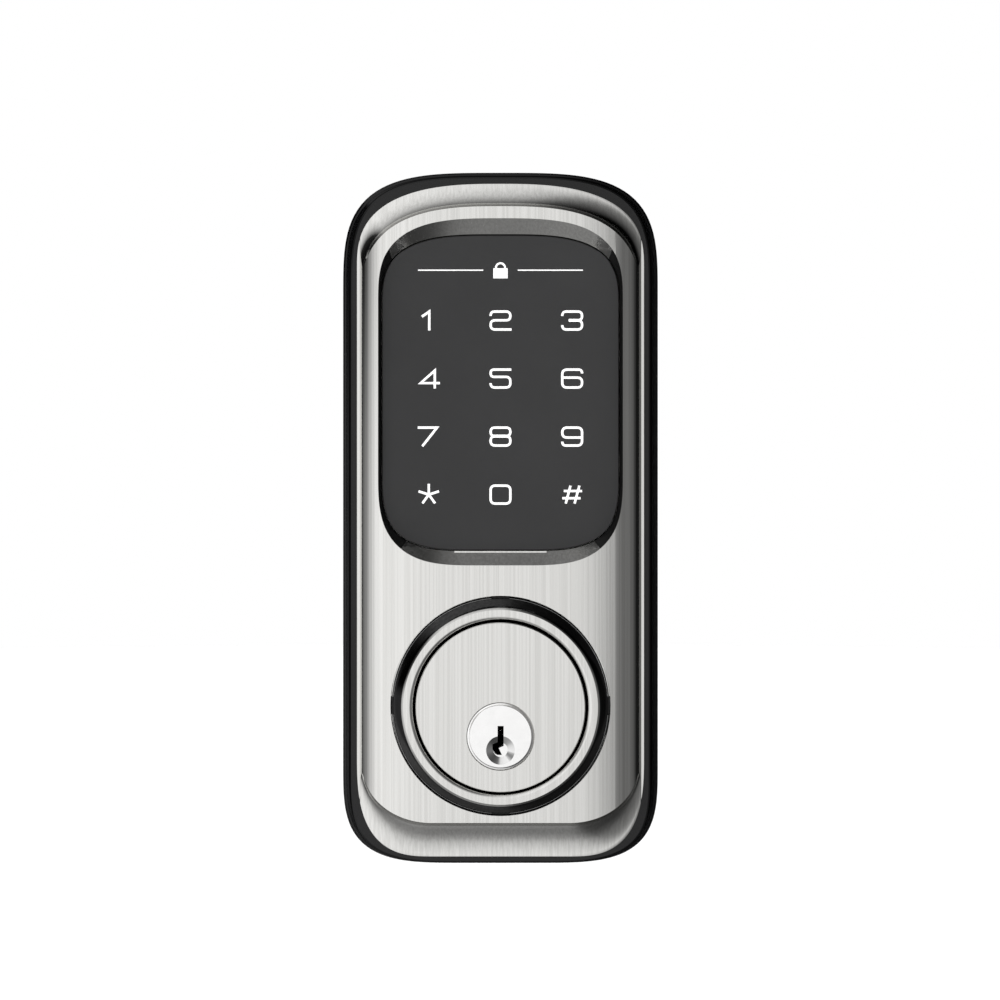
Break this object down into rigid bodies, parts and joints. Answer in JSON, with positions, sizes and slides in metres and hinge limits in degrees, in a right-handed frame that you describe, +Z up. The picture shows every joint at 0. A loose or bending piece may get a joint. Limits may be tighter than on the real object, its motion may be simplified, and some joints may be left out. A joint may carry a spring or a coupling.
{
  "type": "keypad smart lock",
  "caption": "Outside unit of a motorised deadbolt: tall brushed metal case with a recessed touch keypad, a key cylinder in a polished guard, and a rear adapter ring, posts and tailpiece.",
  "frame": {"origin": "centre of the door's 54 mm cross bore on the outside face of the door, which is the centre of the cylinder guard", "axes": "+Z up along the door, +Y into the door, so the front faces -Y, +X to the right seen from outside"},
  "size_m": [0.068, 0.0673, 0.1491],
  "materials": {
    "satin_nickel": "brushed along the height, satin",
    "polished_nickel": "polished cone with a turned front",
    "plug_nickel": "fine turned",
    "trim_black": "satin black",
    "case_black": "fine texture, satin",
    "rubber_black": "matt",
    "plated_steel": "zinc plated",
    "hard_steel": "ground",
    "panel_grey": "hard gloss over a dark print",
    "legend_white": "printed",
    "adhesive_black": "matt",
    "diffuser_white": "milky",
    "led_lens": "clear yellowish",
    "board_green": "solder mask",
    "chip_black": "moulded",
    "socket_cream": "moulded",
    "brass": "turned"
  },
  "bodies": {
    "case": {"escutcheon": "satin_nickel", "rear_housing": "case_black", "door_gasket": "rubber_black", "back_plate": "plated_steel", "bore_adapter": "case_black", "cable_grommet": "rubber_black", "mounting_posts": "plated_steel", "housing_screws": "hard_steel", "touch_panel": "panel_grey", "panel_adhesive": "adhesive_black", "key_legends": "legend_white", "light_guide": "diffuser_white", "key_leds": "led_lens", "touch_board": "board_green", "controller_chips": "chip_black", "cable_socket": "socket_cream", "buzzer": "chip_black", "board_carrier": "case_black", "carrier_seal": "rubber_black", "carrier_screws": "plated_steel", "guard_ring": "polished_nickel", "guard_trim_ring": "trim_black", "cylinder_body": "satin_nickel", "cylinder_screws": "plated_steel", "anti_drill_pins": "hard_steel", "chamber_cap": "brass", "pin_springs": "plated_steel"},
    "plug": {"key_plug": "plug_nickel", "tail_cap": "brass"},
    "tailpiece": {"tailpiece": "plated_steel"},
    "key_pins": {"key_pins": "brass"},
    "driver_pins": {"driver_pins": "hard_steel"}
  },
  "joints": [
    {"name": "plug_turn", "type": "hinge", "parent": "case", "child": "plug", "pos_m": [0, 0, -0.006], "axis": [0, 1, 0], "range_deg": [-90, 90]},
    {"name": "tail_turn", "type": "hinge", "parent": "plug", "child": "tailpiece", "pos_m": [0, 0, -0.006], "axis": [0, 1, 0], "range_deg": [-45, 45]},
    {"name": "key_pins_drop", "type": "slide", "parent": "plug", "child": "key_pins", "axis": [0, 0, 1], "range_m": [-0.0012, 0]},
    {"name": "driver_pins_lift", "type": "slide", "parent": "case", "child": "driver_pins", "axis": [0, 0, 1], "range_m": [0, 0.0016], "stiffness_N_per_m": 250, "springref_m": -0.002, "deforming": ["pin_springs"]}
  ]
}
